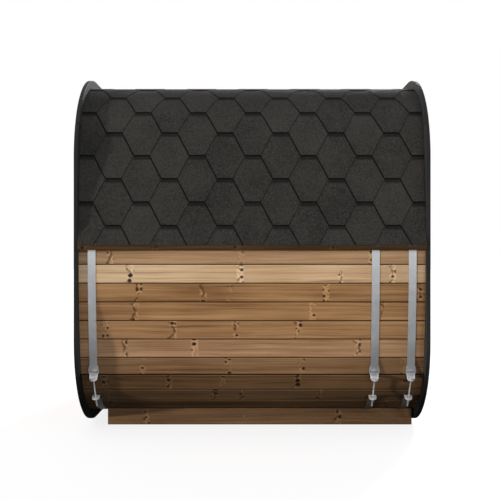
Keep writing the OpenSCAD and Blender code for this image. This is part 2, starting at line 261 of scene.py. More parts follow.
def ease(tree, value, low, high, bottom=0.0, top=1.0):  # smooth step from low to high
    return put(tree, "ShaderNodeMapRange", {"Value": value, "From Min": low, "From Max": high,
               "To Min": bottom, "To Max": top}, interpolation_type="SMOOTHSTEP").outputs["Result"]


def blendColour(tree, part, first, second):
    return put(tree, "ShaderNodeMix", {0: part, 6: first, 7: second}, data_type="RGBA").outputs[2]


def noiseAt(tree, vector, scale=1.0, detail=2.0, rough=0.5):
    return put(tree, "ShaderNodeTexNoise", {"Vector": vector, "Scale": scale, "Detail": detail,
               "Roughness": rough}).outputs["Fac"]


def split(tree, vector):
    return put(tree, "ShaderNodeSeparateXYZ", {0: vector}).outputs[:]


def combine(tree, x, y, z=0.0):
    return put(tree, "ShaderNodeCombineXYZ", {0: x, 1: y, 2: z}).outputs[0]


def lotsFrom(tree, colour):  # three random numbers of a cell
    return put(tree, "ShaderNodeSeparateColor", {0: colour}).outputs


def faceValue(tree, name):
    return put(tree, "ShaderNodeAttribute", attribute_name=name).outputs["Fac"]


def inObject(tree):
    return put(tree, "ShaderNodeTexCoord").outputs["Object"]


def raised(tree, height, strength, distance, **under):
    return put(tree, "ShaderNodeBump", {"Height": height, "Strength": strength,
                                        "Distance": distance, **under}).outputs["Normal"]


def newGroup(name, inputs, outputs):
    tree = bpy.data.node_groups.new(name, "ShaderNodeTree")
    for way, kinds in (("INPUT", inputs), ("OUTPUT", outputs)):
        for label, kind in kinds.items():
            tree.interface.new_socket(label, in_out=way, socket_type="NodeSocket" + kind)
    return tree, tree.nodes.new("NodeGroupInput").outputs, tree.nodes.new("NodeGroupOutput")


def newFinish(name, **sockets):
    finish = bpy.data.materials.new(name)
    finish.use_nodes = True
    tree = finish.node_tree
    shader = tree.nodes["Principled BSDF"]
    feed(shader, sockets)
    return finish, tree, shader


def shade(red, green, blue):  # a colour as it shows on a screen, 0 to 255
    linear = [((c / 255 + 0.055) / 1.055) ** 2.4 if c > 10 else c / 255 / 12.92
              for c in (red, green, blue)]
    return (*linear, 1)


figure = {  # of the wood
    "whorls": 2.15,  # groups of knots in a metre of board
    "whorlReach": 0.028,  # how far a group goes along the board
    "whorlFull": 0.012,
    "cells": 27.0,  # places for a knot in a metre, inside a group
    "stretch": 0.8,
    "smallest": 0.13,  # radius of a knot and how much more it may be, in places
    "larger": 0.22,
    "bend": 0.5,  # how strongly the grain gives way to a knot
    "sway": 0.016,
    "bow": 9.0,  # how strongly a branch cut lengthways bows
    "branch": 0.038,
    "rings": 1500.0,  # growth rings on cut ends
    "haloLight": 1.25,
}


# timber: uv in metres with the grain along u, the number of the board, and a mask for cut ends
def timberGroup():
    tree, given, out = newGroup("timber", {
        "Grain": "Vector", "Board": "Float", "Cut end": "Float", "Pale": "Color", "Dark": "Color",
        "Knot": "Color", "Streaks": "Float", "Knots": "Float"}, {
        "Color": "Color", "Height": "Float", "Fibre": "Float"})
    u, v = split(tree, given["Grain"])[:2]
    number = given["Board"]

    def noiseAlong(alongScale, acrossScale, numberScale, detail=1.0, rough=0.5, across=v):
        place = combine(tree, times(tree, u, alongScale), times(tree, across, acrossScale),
                        times(tree, number, numberScale))
        return noiseAt(tree, place, 1.0, detail, rough)

    # whorls stand across the board every half metre or so
    every = figure["whorls"]
    whorlPlace = timesPlus(tree, u, every, times(tree, number, 3.7))
    whorl = put(tree, "ShaderNodeTexVoronoi", {"W": whorlPlace, "Scale": 1.0},
                voronoi_dimensions="1D")
    near = ease(tree, whorl.outputs["Distance"], figure["whorlReach"] * every,
                figure["whorlFull"] * every)
    chance = lotsFrom(tree, whorl.outputs["Color"])
    present = ease(tree, chance[0], 0.14, 0.18)
    near = times(tree, times(tree, near, given["Knots"]), present)
    # knots inside a whorl
    cell = figure["cells"]
    shift = times(tree, number, 2.9)
    cellU = timesPlus(tree, u, cell * figure["stretch"], times(tree, number, 5.3))
    place = combine(tree, cellU, timesPlus(tree, v, cell, shift))
    knot = put(tree, "ShaderNodeTexVoronoi", {"Vector": place, "Scale": 1.0, "Randomness": 0.85},
               voronoi_dimensions="2D")
    lot = lotsFrom(tree, knot.outputs["Color"])
    ragged = timesPlus(tree, noiseAlong(160, 160, 1.0), 0.16, -0.08)
    distance = sums(tree, "ADD", knot.outputs["Distance"], ragged)
    radius = timesPlus(tree, lot[0], figure["larger"], figure["smallest"])
    kept = times(tree, near, ease(tree, lot[1], 0.30, 0.34))
    inside = sums(tree, "SUBTRACT", radius, distance)
    core = times(tree, ease(tree, inside, -0.05, 0.05), kept)
    collar = times(tree, ease(tree, inside, -0.20, -0.02), kept)
    halo = times(tree, ease(tree, inside, -0.50, -0.15), kept)
    # the grain bends round a knot
    centre = sums(tree, "SUBTRACT", split(tree, knot.outputs["Position"])[1], shift)
    centre = sums(tree, "DIVIDE", centre, cell)
    bend = times(tree, ease(tree, knot.outputs["Distance"], 0.55, 0.1), kept)
    away = times(tree, sums(tree, "SUBTRACT", v, centre), bend)
    sway = timesPlus(tree, noiseAlong(2.2, 5, 1.3), figure["sway"], -figure["sway"] / 2)
    bentV = sums(tree, "ADD", timesPlus(tree, away, -figure["bend"], v), sway)

    broad = noiseAlong(0.9, 52, 3.1, 5.0, 0.66, bentV)
    fine = noiseAlong(2.6, 190, 1.7, 2.0, 0.5, bentV)
    fibre = noiseAlong(16, 620, 2.3, 2.0, 0.6, bentV)
    slow = noiseAlong(1.7, 5, 0.9, 2.0)
    blended = timesPlus(tree, fine, 0.8, timesPlus(tree, fibre, 0.4, slow))
    blended = sums(tree, "SUBTRACT", timesPlus(tree, broad, 1.9, blended), 2.05)
    colour = blendColour(tree, timesPlus(tree, blended, given["Streaks"], 0.5, clamp=True),
                         given["Dark"], given["Pale"])
    # dark streaks along the grain
    drawn = ease(tree, noiseAlong(1.0, 40, 7.7, 2.0, 0.45, bentV), 0.60, 0.74)
    some = ease(tree, noiseAlong(1.3, 9, 4.1), 0.42, 0.60)
    streak = times(tree, times(tree, drawn, some), given["Knots"])
    # a branch cut lengthways shows as an arc across the board
    aside = sums(tree, "SUBTRACT", whorlPlace, whorl.outputs["W"])
    aside = sums(tree, "DIVIDE", aside, every)
    aside = sums(tree, "ADD", aside, times(tree, times(tree, v, v), figure["bow"]))
    aside = sums(tree, "ADD", aside, timesPlus(tree, noiseAlong(6, 16, 6.1), 0.05, -0.025))
    width = timesPlus(tree, noiseAlong(12, 38, 5.3), figure["branch"], -0.0155)
    arc = sums(tree, "SUBTRACT", sums(tree, "ABSOLUTE", aside), width)
    spike = times(tree, ease(tree, arc, 0.0035, -0.0025), ease(tree, chance[1], 0.40, 0.44))
    spike = times(tree, spike, times(tree, present, ease(tree, fibre, 0.25, 0.5, 0.5, 1.0)))
    spike = times(tree, spike, given["Knots"])

    deep = blendColour(tree, 0.55, given["Dark"], given["Knot"])
    bright = put(tree, "ShaderNodeHueSaturation", {
        "Value": figure["haloLight"], "Color": given["Pale"]}).outputs["Color"]
    for mask, strength, over in ((halo, 0.75, bright), (collar, 0.6, deep), (streak, 0.75, deep),
                                 (spike, 0.8, deep), (core, 0.93, given["Knot"])):
        colour = blendColour(tree, times(tree, mask, strength), colour, over)
    # cut ends show growth rings round a heart beside the board's middle
    off = combine(tree, sums(tree, "ADD", u, 0.03), sums(tree, "ADD", v, 0.11))
    reach = put(tree, "ShaderNodeVectorMath", {0: off}, operation="LENGTH").outputs["Value"]
    uneven = times(tree, noiseAlong(30, 30, 1.0), 5.0)
    rings = sums(tree, "SINE", timesPlus(tree, reach, figure["rings"], uneven))
    endColour = blendColour(tree, timesPlus(tree, rings, 0.25, 0.3, clamp=True), given["Dark"],
                            given["Pale"])
    endColour = blendColour(tree, 0.25, endColour, given["Knot"])
    colour = blendColour(tree, given["Cut end"], colour, endColour)
    height = timesPlus(tree, fibre, 0.5, times(tree, fine, 0.5))
    sunk = times(tree, sums(tree, "MAXIMUM", core, streak), 0.5)
    height = sums(tree, "SUBTRACT", height, sunk)
    feed(out, {"Color": colour, "Height": height, "Fibre": fibre})
    return tree


timber = timberGroup()
boardLook = {
    "lighter": 0.16,  # every board is a little lighter or darker than the next
    "duller": 0.12,
    "endsFrom": 0.45,  # and painted darker, as shade, from here to the ends of the cabin
    "endsTo": 1.0,
    "fibreRough": 0.18,
    "shadedRough": 0.3,
    "fibreHeight": 0.0012,
}


def woodFinish(name, pale, dark, knot, streaks=1.0, knots=1.0, rough=0.62, bump=0.25,
               lightPale=None, lightDark=None, ends=0.0, shine=0.25):  # colours from 0 to 255
    finish, tree, shader = newFinish(name, **{"Specular IOR Level": shine})
    number, cut, tone, paintedShading = [faceValue(tree, key) for key in ("board", "cut", "tone", "paintedShading")]
    wood = put(tree, "ShaderNodeGroup", {
        "Grain": put(tree, "ShaderNodeUVMap").outputs["UV"], "Board": number, "Cut end": cut,
        "Pale": blendColour(tree, tone, shade(*pale), shade(*(lightPale or pale))),
        "Dark": blendColour(tree, tone, shade(*dark), shade(*(lightDark or dark))),
        "Knot": shade(*knot), "Streaks": streaks, "Knots": knots}, node_tree=timber).outputs
    dealt = put(tree, "ShaderNodeTexWhiteNoise", {"W": number},
                noise_dimensions="1D").outputs["Value"]
    lighter, duller = boardLook["lighter"], boardLook["duller"]
    bright = timesPlus(tree, dealt, lighter, 1 - lighter / 2)
    fromMiddle = sums(tree, "ABSOLUTE", split(tree, inObject(tree))[0])
    # painted shade towards the ends of the cabin, and painted shade or highlight from the face
    # attribute
    endShade = ease(tree, fromMiddle, boardLook["endsFrom"], boardLook["endsTo"], 1.0, 1.0 - ends)
    paintedLevel = times(tree, endShade, sums(tree, "SUBTRACT", 1.0, paintedShading))
    level = put(tree, "ShaderNodeHueSaturation", {
        "Value": times(tree, bright, paintedLevel), "Color": wood["Color"],
        "Saturation": timesPlus(tree, dealt, -duller, 1 + duller / 2)})
    fibreRough = timesPlus(tree, wood["Fibre"], boardLook["fibreRough"],
                           rough - boardLook["fibreRough"] / 2)
    feed(shader, {
        "Base Color": level.outputs["Color"],
        "Roughness": timesPlus(tree, paintedShading, boardLook["shadedRough"], fibreRough),
        "Normal": raised(tree, wood["Height"], bump, boardLook["fibreHeight"])})
    return finish


wallWood = woodFinish("wallWood", (185, 147, 107), (117, 82, 53), (28, 17, 11), ends=0.15,
                      lightPale=(224, 197, 159), lightDark=(178, 141, 100))
blackWood = woodFinish("blackWood", (46, 46, 47), (28, 28, 29), (13, 13, 14), knots=0.4,
                       rough=0.6, bump=0.35, shine=0.15)
lathWood = woodFinish("lathWood", (84, 62, 40), (48, 34, 20), (22, 15, 10), rough=0.8)
baseWood = woodFinish("baseWood", (123, 94, 67), (73, 55, 38), (28, 19, 13), rough=0.75, bump=0.4)
darkWood = woodFinish("darkWood", (120, 88, 58), (78, 55, 36), (30, 20, 14), knots=0.0,
                      rough=0.45, bump=0.12)
doorWood = woodFinish("doorWood", (176, 138, 98), (122, 90, 60), (44, 29, 19), knots=0.35,
                      rough=0.5, bump=0.15)
print("wood finishes made")


bolts = {"turn": math.radians(31.5), "threadPitch": 0.0018, "threadHeight": 0.0006,
         "shank": 0.0051, "ease": 0.0007}
# the colour of painted shade on steel under the cabin
steelLook = {"paintedShade": shade(62, 62, 56), "clouds": 22.0, "cloudRough": 0.22, "mattMetal": 0.5}


def steelFinish(name, dark, light, rough, lines, depth):  # lines: scale of the rolling marks
    finish, tree, shader = newFinish(name)
    place = inObject(tree)
    stretched = put(tree, "ShaderNodeMapping", {"Vector": place, "Scale": lines}).outputs[0]
    marks = noiseAt(tree, stretched, 1.0, 3.0, 0.6)
    cloud = noiseAt(tree, place, steelLook["clouds"], 3.0, 0.6)
    both = timesPlus(tree, marks, 0.5, times(tree, cloud, 0.5))
    paintedShade, matt, thread = [faceValue(tree, key) for key in ("paintedShade", "matt", "thread")]
    clean = blendColour(tree, ease(tree, both, 0.3, 0.7), dark, light)
    # threads wind round the shanks of the tension bolts
    y, z = split(tree, place)[1:]
    down = timesPlus(tree, sums(tree, "ABSOLUTE", y), -math.sin(bolts["turn"]),
                     times(tree, z, -math.cos(bolts["turn"])))
    winding = sums(tree, "SINE", times(tree, down, 2 * math.pi / bolts["threadPitch"]))
    # painted shade is mixed into the colour where that attribute is set
    feed(shader, {
        "Base Color": blendColour(tree, paintedShade, clean, steelLook["paintedShade"]),
        "Metallic": timesPlus(tree, matt, -steelLook["mattMetal"], 1.0),
        "Roughness": timesPlus(tree, cloud, steelLook["cloudRough"],
                               rough - steelLook["cloudRough"] / 2),
        "Normal": raised(tree, times(tree, winding, thread), 1.0, bolts["threadHeight"],
                         Normal=raised(tree, marks, 0.5, depth))})
    return finish


bandSteel = steelFinish("bandSteel", (0.80, 0.81, 0.83, 1), (0.93, 0.94, 0.95, 1), 0.36,
                        (900, 3, 3), 0.0002)
zincSteel = steelFinish("zincSteel", (0.74, 0.75, 0.78, 1), (0.90, 0.90, 0.92, 1), 0.3,
                        (160, 160, 160), 0.0002)
hingeSteel = steelFinish("hingeSteel", (0.52, 0.52, 0.53, 1), (0.66, 0.66, 0.67, 1), 0.35,
                         (300, 300, 12), 0.0001)


roof = {
    "course": 0.1434,  # height that shows of each course
    "pitch": 0.3402,  # from tab to tab
    "start": 0.005,  # how far one tab stands from the middle of the cabin
    "tabFoot": 0.095,  # width of a tab at its lower edge
    "thick": 0.0026,
    "lift": 0.0045,  # how far a tab's foot stands off the skin
    "sheet": 0.333,  # height of a whole shingle
    "length": 0.306,  # how much of it is made
    "slit": 0.0004,  # half the gap between tabs
    "skin": 0.0026,  # the skin's inner face off the boards
    "skinFoot": 0.0075,  # its thickness at the eaves, with the shingles
    "kick": 0.1386,  # where the skin leaves the boards, up from the middle of a side
    "bend": 0.045,  # how much of it bends on each side of that place
    "caps": 0.13,  # half width of the caps along the top
    "phase": 0.0145,  # place of the lowest foot under the eaves
}
grit = {
    "grains": 420.0,  # granules in a metre
    "high": 0.0011,
    "dark": shade(28, 28, 28),
    "pale": shade(64, 63, 61),
    "whiteSpeck": shade(98, 96, 93),
    "brownSpeck": shade(70, 58, 47),
    "shadow": shade(11, 11, 12),
    "line": 0.95,  # strength of the painted shadow line below a foot and of the frayed band under it
    "band": 0.62,
    "leftSide": 0.95,  # and along the two slanting edges
    "rightSide": 0.6,
}


def shingleFinish():  # uv in metres: across the middle of a tab and up from its foot
    finish, tree, shader = newFinish("shingleFinish", **{"Specular IOR Level": 0.12})
    place = inObject(tree)
    u, v = split(tree, put(tree, "ShaderNodeUVMap").outputs["UV"])[:2]
    grains = put(tree, "ShaderNodeTexVoronoi", {"Vector": place, "Scale": grit["grains"],
                                                "Randomness": 1.0}).outputs
    lot = lotsFrom(tree, grains["Color"])
    coarse, cloud = noiseAt(tree, place, 60.0, 3.0, 0.6), noiseAt(tree, place, 5.0, 3.0, 0.6)
    level = timesPlus(tree, cloud, 0.5, times(tree, faceValue(tree, "tone"), 0.07))
    level = timesPlus(tree, lot[0], 0.55, timesPlus(tree, coarse, 0.5, level))
    colour = blendColour(tree, ease(tree, level, 0.3, 1.2), grit["dark"], grit["pale"])
    white, brown = lot[1], lot[2]
    colour = blendColour(tree, ease(tree, white, 0.93, 0.97, 0.0, 0.6), colour, grit["whiteSpeck"])
    colour = blendColour(tree, ease(tree, brown, 0.92, 0.96, 0.0, 0.5), colour, grit["brownSpeck"])
    # painted shadow: dark lines and frayed bands below each foot and along the slanting edges,
    # where the next courses cast shade
    twice, halfFoot = 2 * roof["course"], roof["tabFoot"] / 2
    corner = roof["pitch"] / 2 - halfFoot
    slant = (roof["pitch"] / 2 - roof["tabFoot"]) / roof["course"]
    wobble = timesPlus(tree, coarse, 0.006, -0.003)
    foot = ease(tree, sums(tree, "ABSOLUTE", u), halfFoot + 0.006, halfFoot)
    line = ease(tree, sums(tree, "ADD", v, wobble), twice - 0.015, twice - 0.008)
    frayed = timesPlus(tree, coarse, 0.014, timesPlus(tree, lot[0], 0.008, v))
    band = ease(tree, frayed, twice - 0.022, twice - 0.014)
    band = sums(tree, "MAXIMUM", times(tree, line, grit["line"]), times(tree, band, grit["band"]))
    edge = timesPlus(tree, sums(tree, "SUBTRACT", v, roof["course"]), -slant, corner)
    leftEdge = sums(tree, "ADD", sums(tree, "SUBTRACT", edge, u), wobble)
    rightEdge = sums(tree, "ADD", sums(tree, "ADD", edge, u), wobble)
    leftSide = times(tree, ease(tree, leftEdge, 0.013, 0.006), grit["leftSide"])
    rightSide = times(tree, ease(tree, rightEdge, 0.008, 0.003), grit["rightSide"])
    above = ease(tree, v, roof["course"] - 0.01, roof["course"])
    slants = times(tree, above, sums(tree, "MAXIMUM", leftSide, rightSide))
    dark = sums(tree, "MAXIMUM", times(tree, band, foot), slants)
    grainTop = sums(tree, "SUBTRACT", 1.0, grains["Distance"])
    feed(shader, {
        "Base Color": blendColour(tree, dark, colour, grit["shadow"]),
        "Roughness": timesPlus(tree, lot[0], 0.16, 0.8),
        "Normal": raised(tree, grainTop, 0.5, grit["high"])})
    return finish


shingleGrit = shingleFinish()

tintedGlass, tree, shader = newFinish("tintedGlass", **{"Transmission Weight": 1.0, "IOR": 1.5})
smear = noiseAt(tree, inObject(tree), 3.0, 3.0)
feed(shader, {
    "Base Color": blendColour(tree, smear, (0.36, 0.33, 0.30, 1), (0.44, 0.41, 0.38, 1)),
    "Roughness": timesPlus(tree, smear, 0.04, 0.01)})
print("metal and shingle finishes made")

# boards of the shell
planks = {
    "gap": 0.0040,  # between the faces of two boards
    "cornerGap": 0.0085,  # and where the shell is round
    "closed": 0.0002,  # under the faces the boards almost touch
    "groove": 0.0044,
    "rebate": 0.010,
    "pale": {0: 0.2, 1: 0.85},  # paler boards, counted down from the first joint; the first is painted paler to offset the eaves lath's shade on it
    "paintedShading": 0.43,  # the boards that face the ground are painted darker, as shade
    "jointShade": 0.88,
    "litEdge": 1.2,  # the upper edge of a board is painted paler as a highlight, the lower edge painted darker as shade
    "shadedEdge": 0.4,
}
lowerCount = round((quarter + shell["firstJoint"]) / shell["boardCover"])
lowerPitch = (quarter + shell["firstJoint"]) / lowerCount
upperCount = round((quarter - shell["firstJoint"]) / shell["boardCover"] - 0.5)
upperPitch = (quarter - shell["firstJoint"]) / (upperCount + 0.5)
lowerJoints = [shell["firstJoint"] - k * lowerPitch for k in range(lowerCount + 1)]
upperJoints = [shell["firstJoint"] + k * upperPitch for k in range(upperCount + 1)]


def stave(target, first, second, light):  # (s, side) of both edges of one board
    bm = bmesh.new()
    ends, faceCorners = [], []
    for (s, side), (other, otherSide) in ((first, second), (second, first)):
        inward = (shellPoint(other, 0, otherSide) - shellPoint(s, 0, side)).normalized()
        bent = bowLength < abs(s) < bowLength + arcLength
        opened = inward * planks["cornerGap" if bent else "gap"] / 2
        shut = inward * planks["closed"] / 2
        outer, step, inner = [shellPoint(s, -deep, side)
                              for deep in (0, planks["rebate"], shell["thick"])]
        faceCorners.append(outer + opened)
        ends.append([outer + opened, step + opened, step + shut, inner + shut])
    corners = ends[0][::-1] + ends[1]
    face = bm.faces.new([bm.verts.new(corner - alongX * boardEnd) for corner in corners])
    grown = bmesh.ops.extrude_face_region(bm, geom=[face])["geom"]
    bmesh.ops.translate(bm, vec=alongX * 2 * boardEnd,
                        verts=[v for v in grown if isinstance(v, bmesh.types.BMVert)])
    turnOutwards(bm)
    easeEdges(bm, planks["groove"], 1, only=lambda e: (
        abs(e.verts[0].co.x - e.verts[1].co.x) > 0.1
        and any((e.verts[0].co.yz - corner.yz).length < 1e-4 for corner in faceCorners)))
    slope = (faceCorners[1] - faceCorners[0]).normalized()
    below = (faceCorners[0].z + faceCorners[1].z) / 2 < middle
    facing = abs(slope.y) if below else 0.0  # how much the board faces the ground
    # boards turned to the ground are painted darker, as shade
    paintedShading = planks["paintedShading"] * (1 + facing) * share((facing - 0.17) / 0.1)
    layGrain(bm, alongX, light, paintedShading)
    shadingLayer = faceLayer(bm, "paintedShading")
    outward = (faceCorners[0] + faceCorners[1]) / 2 - Vector((0, 0, middle))
    outward = (outward - slope * outward.dot(slope)).normalized()
    narrow = 0.012 * boardEnd
    for face in bm.faces:
        turned = face.normal.dot(outward)
        # faces in the joints are painted near black as shade in the gaps; the upper chamfer gets a
        # painted highlight, the lower one painted shade
        if abs(face.normal.dot(slope)) > 0.9 or turned > 0.9 and face.calc_area() < narrow:
            face[shadingLayer] = planks["jointShade"]
        elif 0.4 < turned < 0.9:
            upper = face.normal.z > outward.z
            face[shadingLayer] = 1 - (1 - paintedShading) * planks["litEdge" if upper else "shadedEdge"]
    joinInto(target, bm)


sides = {"left": bmesh.new(), "right": bmesh.new()}
for side, label in ((-1, "left"), (1, "right")):
    for k in range(lowerCount):
        stave(sides[label], (lowerJoints[k], side), (lowerJoints[k + 1], side),
              planks["pale"].get(k, 0.0))
    for k in range(upperCount):
        stave(sides[label], (upperJoints[k], side), (upperJoints[k + 1], side), 0.0)
stave(sides["right"], (upperJoints[-1], -1), (upperJoints[-1], 1), 0.0)
addPiece("left_boards", sides["left"], wallWood,
         ["left_wall", "left_lower_corner", "left_upper_corner"])
addPiece("right_boards", sides["right"], wallWood,
         ["right_wall", "right_lower_corner", "right_upper_corner", "roof_deck", "floor_deck"])
print("shell boarded")

# end walls, upright boards
endWalls = {"cover": 0.094, "gap": 0.001, "groove": 0.003}


def boardedWall(name, nodes):
    made = bmesh.new()
    for node in nodes:
        low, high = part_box(node)
        first = math.floor(low.y / endWalls["cover"])
        last = math.ceil(high.y / endWalls["cover"])
        for k in range(first, last):
            bm = cadCopy(node, 0.01)
            keepBetween(bm, alongY, k * endWalls["cover"] + endWalls["gap"] / 2,
                        (k + 1) * endWalls["cover"] - endWalls["gap"] / 2)
            if not bm.faces:
                bm.free()
                continue
            turnOutwards(bm)
            easeEdges(bm, endWalls["groove"], 1, only=lambda e: (
                (e.verts[0].co.xy - e.verts[1].co.xy).length < 1e-5))  # the upright edges
            layGrain(bm, alongZ)
            joinInto(made, bm)
    addPiece(name, made, wallWood, nodes)


boardedWall("back_wall_boards", ["back_wall"])
boardedWall("front_wall_boards", ["front_wall_left", "front_wall_right", "front_wall_top",
                                  "front_wall_sill"])
print("end walls boarded")

# rims, black stained
rims = {
    "ease": 0.0025,
    "cornerRadius": 0.570,
    "band": 0.120,
    "straight": 0.3,  # boards whose middle is this near an axis are straight
    "cutTurn": math.radians(22),
    "kerf": 0.0024,
    "sunk": 0.004,  # the dark filler of the saw cuts lies this deep
    "paintedShading": 0.95,  # how dark the painted shade on the low parts is
    "shadeBelow": 0.45,  # the painted shade on the inner side starts at this height and grows over this much
    "shadeOver": 0.25,
    "sweep": Vector((0.1, 1, 0.37)),
}


def rimGrain(centre):  # along each board of the ring
    y, z = centre.y, centre.z - middle
    if abs(z) < rims["straight"]:
        return alongZ
    if abs(y) < rims["straight"]:
        return alongY
    return Vector((0, -z, y)).normalized()


def cutFillers(low, high):  # thin keys in the saw cuts between the boards of a ring
    made = bmesh.new()
    flat = ringHigh.z - middle - rims["cornerRadius"]
    outer = rims["cornerRadius"] - rims["sunk"]
    inner = rims["cornerRadius"] - rims["band"] + rims["sunk"]
    for turn in (rims["cutTurn"], math.pi / 2 - rims["cutTurn"]):
        for y, z in ((1, 1), (1, -1), (-1, 1), (-1, -1)):
            bm = bmesh.new()
            key = boxBetween(bm, (low + rims["sunk"], inner, -rims["kerf"] / 2),
                             (high - rims["sunk"], outer, rims["kerf"] / 2))
            bmesh.ops.rotate(bm, verts=key, cent=(0, 0, 0),
                             matrix=Matrix.Rotation(turn * y * z, 3, "X"))
            bmesh.ops.scale(bm, verts=key, vec=(1, y, y))
            bmesh.ops.translate(bm, verts=key, vec=(0, y * flat, middle + z * flat))
            turnOutwards(bm)
            joinInto(made, bm)
    return made


for end in ("front", "back"):
    for part in ("rim_sides", "rim_top_and_bottom", "rim_corners"):
        bm = cadCopy(f"{end}_{part}", 0.05)
        easeEdges(bm, rims["ease"])
        if part == "rim_corners":
            low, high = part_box(f"{end}_{part}")
            joinInto(bm, cutFillers(low.x, high.x))
            # the bevel's own order changes from run to run, and grain is dealt by it
            bm.faces.sort(key=lambda f: f.calc_center_median().dot(rims["sweep"]))
        layGrain(bm, rimGrain)
        # painted shade low on the inner side and on faces turned to the ground
        shadingLayer = faceLayer(bm, "paintedShading")
        for face in bm.faces:
            spot = face.calc_center_median()
            inner = face.normal.x * spot.x < -0.5
            byHeight = (rims["shadeBelow"] - spot.z) / rims["shadeOver"]
            byTurn = (-face.normal.z - 0.1) / 0.6
            face[shadingLayer] = rims["paintedShading"] * share(byHeight if inner else byTurn)
        addPiece(f"{end}_{part}_dressed", bm, blackWood, [f"{end}_{part}"], 20)
print("rims eased")

# laths, beams and bearers
for finish, slotName, width, grain, nodes in (
    (lathWood, "lath_wood", 0.002, alongX, ("left_eaves_lath", "right_eaves_lath")),
    (baseWood, "base_wood", 0.003, alongX, ("left_base_beam", "right_base_beam")),
    (baseWood, "base_wood", 0.003, alongY, ("cross_bearers",)),
):
    for node in nodes:
        bm = cadCopy(node)
        easeEdges(bm, width)
        layGrain(bm, grain)
        addPiece(node + "_dressed", bm, finish, [node])
print("base and laths made")

# roof covering
skinLow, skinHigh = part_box("roof_shingles")
roofEnd = skinHigh.x
eaves = Vector((0, skinHigh.y - roof["skinFoot"], skinLow.z))  # the skin's inner lower edge


def skinOutline():  # a line of places up the right side, from the eaves to the middle of the roof
    start = roof["kick"] + roof["bend"]
    bend, after = (shellPoint(s, roof["skin"], 1) for s in (roof["kick"], start))
    before = bend + (eaves - bend).normalized() * roof["bend"]
    line = [eaves.lerp(before, k / 8) for k in range(8)]
    line += [before.lerp(bend, k / 12).lerp(bend.lerp(after, k / 12), k / 12) for k in range(12)]
    steps = round((quarter - start) / 0.006)
    line += [shellPoint(start + (quarter - start) * k / steps, roof["skin"], 1)
             for k in range(steps + 1)]
    return line


skinLine = skinOutline()
skinRuns = [0.0]
for first, second in zip(skinLine, skinLine[1:]):
    skinRuns.append(skinRuns[-1] + (second - first).length)
ridge = skinRuns[-1]


def skinPoint(s, lift, side=-1):  # s runs up over the skin from the eaves
    k = min(max(bisect.bisect_right(skinRuns, s) - 1, 0), len(skinLine) - 2)
    way = (skinLine[k + 1] - skinLine[k]).normalized()
    place = skinLine[k] + way * (s - skinRuns[k]) + Vector((0, way.z, -way.y)) * lift
    return Vector((0, side * place.y, place.z))


def overRidge(run, lift):  # run is measured from the middle of the roof to both sides
    return skinPoint(ridge - abs(run), lift, 1 if run < 0 else -1)


def gridOf(bm, columns, rows):  # a flat sheet from -0.5 to 0.5, to be bent
    return bmesh.ops.create_grid(bm, x_segments=columns, y_segments=rows, size=0.5)["verts"]


def halfTab(t):  # half width of a tab, t above its foot
    widest = (roof["pitch"] - roof["tabFoot"]) / 2
    slant = (widest - roof["tabFoot"] / 2) / roof["course"]
    return min(roof["tabFoot"] / 2 + t * slant, roof["pitch"] / 2)


def layOn(target, bm, thick):  # an open sheet grows outwards, away from the cabin
    turnOutwards(bm)
    heart = Vector((0, 0, middle))
    inward = [f for f in bm.faces if f.normal.dot(f.calc_center_median() - heart) < 0]
    if len(inward) * 2 > len(bm.faces):
        bmesh.ops.reverse_faces(bm, faces=bm.faces[:])
    bmesh.ops.solidify(bm, geom=bm.faces[:], thickness=-thick)
    joinInto(target, bm)


def courseSheet(course):  # one flat course of tabs, x along the cabin and y up the roof
    bm = bmesh.new()
    uv = bm.loops.layers.uv.verify()
    tone = faceLayer(bm, "tone")
    shift = roof["pitch"] / 2 if course % 2 else 0
    for k in range(-4, 5):
        across = roof["start"] + k * roof["pitch"] + shift
        if abs(across) - roof["pitch"] / 2 > roofEnd - 0.004:
            continue
        tab = gridOf(bm, 2, 10)
        for v in tab:
            t = (v.co.y + 0.5) * roof["length"]
            half = halfTab(t) if course >= 0 else roof["pitch"] / 2
            v.co = Vector((v.co.x * 2 * (half - roof["slit"]), t, 0))
        light = rng.uniform(-1, 1)
        for face in {f for v in tab for f in v.link_faces}:
            face[tone] = light
            for loop in face.loops:
                loop[uv].uv = (loop.vert.co.x, loop.vert.co.y)
        bmesh.ops.translate(bm, vec=(across, course * roof["course"] - roof["phase"], 0), verts=tab)
    for place, outward in ((alongX * roofEnd, alongX), (-alongX * roofEnd, -alongX),
                           (Vector(), -alongY), (alongY * ridge, alongY)):
        sliceOff(bm, place, outward)
    return bm


shingles = bmesh.new()
for side in (-1, 1):
    course = -1
    foot = course * roof["course"] - roof["phase"]
    while foot < ridge - roof["caps"] * 0.5:
        bm = courseSheet(course)
        for v in bm.verts:  # bends the flat course over the skin
            lift = roof["lift"] * (1 - (v.co.y - foot) / roof["sheet"])
            v.co = skinPoint(v.co.y, lift, side) + alongX * v.co.x
        layOn(shingles, bm, roof["thick"])
        course += 1
        foot = course * roof["course"] - roof["phase"]

